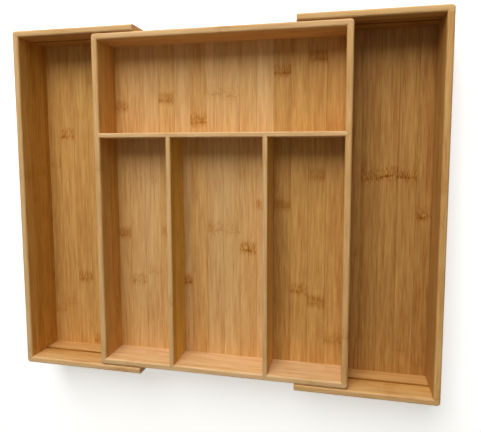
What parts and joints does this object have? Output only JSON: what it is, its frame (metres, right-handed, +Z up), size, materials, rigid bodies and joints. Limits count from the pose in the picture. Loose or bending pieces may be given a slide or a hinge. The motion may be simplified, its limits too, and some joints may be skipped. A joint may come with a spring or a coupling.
{
  "type": "cutlery tray",
  "caption": "Expandable bamboo cutlery tray: a centre tray with cross and long compartments, and open side trays that slide out from under it on tongues and grooves to fill a drawer.",
  "frame": {"origin": "on the surface that the tray rests on, under the middle of its outline with the side trays drawn out as pictured", "axes": "+X to the right, along which the side trays slide, +Y to the back, where the cross compartment is, +Z up"},
  "size_m": [0.5316, 0.44, 0.061],
  "materials": {
    "bamboo_wall": "satin",
    "bamboo_floor": "satin",
    "bamboo_divider": "satin",
    "bamboo_tongue": "matte"
  },
  "bodies": {
    "centre_tray": {"centre_floor": "bamboo_floor", "centre_front_wall": "bamboo_wall", "centre_back_wall": "bamboo_wall", "centre_left_wall": "bamboo_wall", "centre_right_wall": "bamboo_wall", "cross_divider": "bamboo_divider", "left_divider": "bamboo_divider", "right_divider": "bamboo_divider", "front_left_tongue": "bamboo_tongue", "front_right_tongue": "bamboo_tongue", "back_left_tongue": "bamboo_tongue", "back_right_tongue": "bamboo_tongue"},
    "left_tray": {"left_floor": "bamboo_floor", "left_front_wall": "bamboo_wall", "left_back_wall": "bamboo_wall", "left_end_wall": "bamboo_wall"},
    "right_tray": {"right_floor": "bamboo_floor", "right_front_wall": "bamboo_wall", "right_back_wall": "bamboo_wall", "right_end_wall": "bamboo_wall"}
  },
  "joints": [
    {"name": "left_slide", "type": "slide", "parent": "centre_tray", "child": "left_tray", "axis": [-1, 0, 0], "range_m": [-0.10228, 0.01142]},
    {"name": "right_slide", "type": "slide", "parent": "centre_tray", "child": "right_tray", "axis": [1, 0, 0], "range_m": [-0.09429, 0.01941]}
  ]
}
